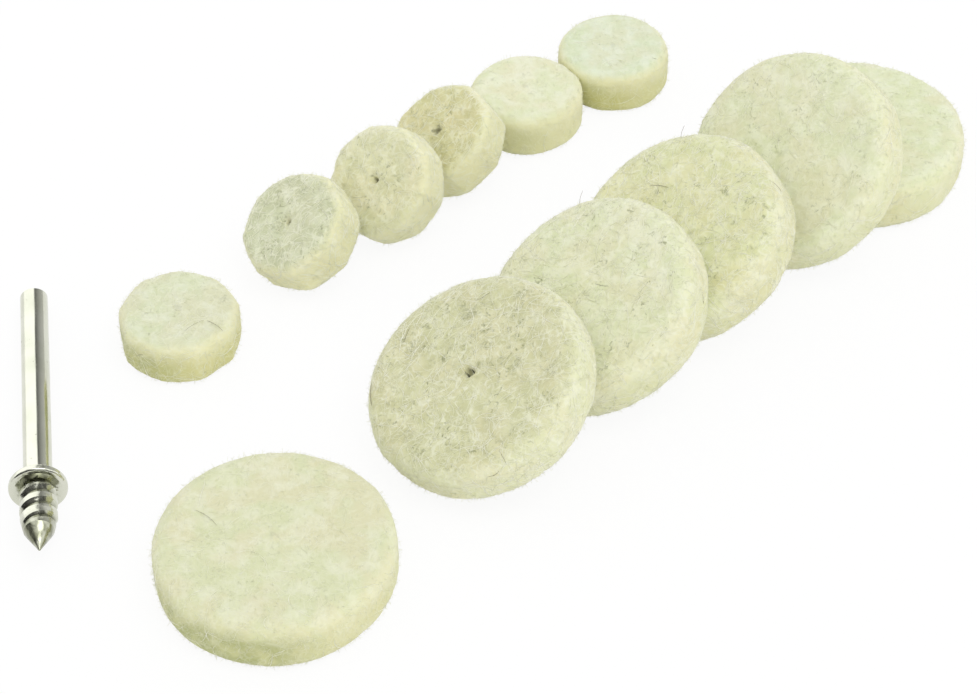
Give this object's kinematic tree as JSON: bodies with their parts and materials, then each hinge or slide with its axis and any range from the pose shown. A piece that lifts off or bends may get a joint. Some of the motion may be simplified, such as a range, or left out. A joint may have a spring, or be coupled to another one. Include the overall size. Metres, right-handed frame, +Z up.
{
  "type": "felt polishing wheel set",
  "caption": "Felt polishing wheels in two sizes, laid flat and leaning in two rows, with the straight-shank screw mandrel that drives one in a rotary tool.",
  "frame": {"origin": "centre of the set's box, on the plane that it lies on", "axes": "+Z up from that plane; +X along the longer side of the layout, to the right as one faces it; +Y away, from the front wheels towards the far ends of the rows"},
  "size_m": [0.1116, 0.1006, 0.0212],
  "materials": {
    "large_felt": "pressed wool felt, cream, with loose fibres",
    "small_felt": "pressed wool felt, cream, with loose fibres",
    "plated_steel": "bright nickel-plated steel"
  },
  "bodies": {
    "mandrel": {"mandrel": "plated_steel"},
    "large_wheel_front": {"large_wheel_front": "large_felt"},
    "large_wheel_1": {"large_wheel_1": "large_felt"},
    "large_wheel_2": {"large_wheel_2": "large_felt"},
    "large_wheel_3": {"large_wheel_3": "large_felt"},
    "large_wheel_4": {"large_wheel_4": "large_felt"},
    "large_wheel_5": {"large_wheel_5": "large_felt"},
    "small_wheel_front": {"small_wheel_front": "small_felt"},
    "small_wheel_1": {"small_wheel_1": "small_felt"},
    "small_wheel_2": {"small_wheel_2": "small_felt"},
    "small_wheel_3": {"small_wheel_3": "small_felt"},
    "small_wheel_4": {"small_wheel_4": "small_felt"},
    "small_wheel_5": {"small_wheel_5": "small_felt"}
  },
  "joints": [
    {"name": "mandrel_lift", "type": "slide", "parent": "large_wheel_front", "child": "mandrel", "axis": [0, 0, 1], "range_m": [0, 0.02]},
    {"name": "small_wheel_front_lift", "type": "slide", "parent": "large_wheel_front", "child": "small_wheel_front", "axis": [0, 0, 1], "range_m": [0, 0.015]},
    {"name": "large_wheel_5_lift", "type": "slide", "parent": "large_wheel_front", "child": "large_wheel_5", "axis": [0, 0, 1], "range_m": [0, 0.015]},
    {"name": "large_wheel_4_lift", "type": "slide", "parent": "large_wheel_5", "child": "large_wheel_4", "axis": [0, 0, 1], "range_m": [0, 0.015]},
    {"name": "large_wheel_3_lift", "type": "slide", "parent": "large_wheel_4", "child": "large_wheel_3", "axis": [0, 0, 1], "range_m": [0, 0.015]},
    {"name": "large_wheel_2_lift", "type": "slide", "parent": "large_wheel_3", "child": "large_wheel_2", "axis": [0, 0, 1], "range_m": [0, 0.015]},
    {"name": "large_wheel_1_lift", "type": "slide", "parent": "large_wheel_2", "child": "large_wheel_1", "axis": [0, 0, 1], "range_m": [0, 0.015]},
    {"name": "small_wheel_5_lift", "type": "slide", "parent": "large_wheel_front", "child": "small_wheel_5", "axis": [0, 0, 1], "range_m": [0, 0.01]},
    {"name": "small_wheel_4_lift", "type": "slide", "parent": "small_wheel_5", "child": "small_wheel_4", "axis": [0, 0, 1], "range_m": [0, 0.01]},
    {"name": "small_wheel_3_lift", "type": "slide", "parent": "small_wheel_4", "child": "small_wheel_3", "axis": [0, 0, 1], "range_m": [0, 0.01]},
    {"name": "small_wheel_2_lift", "type": "slide", "parent": "small_wheel_3", "child": "small_wheel_2", "axis": [0, 0, 1], "range_m": [0, 0.01]},
    {"name": "small_wheel_1_lift", "type": "slide", "parent": "small_wheel_2", "child": "small_wheel_1", "axis": [0, 0, 1], "range_m": [0, 0.01]}
  ]
}
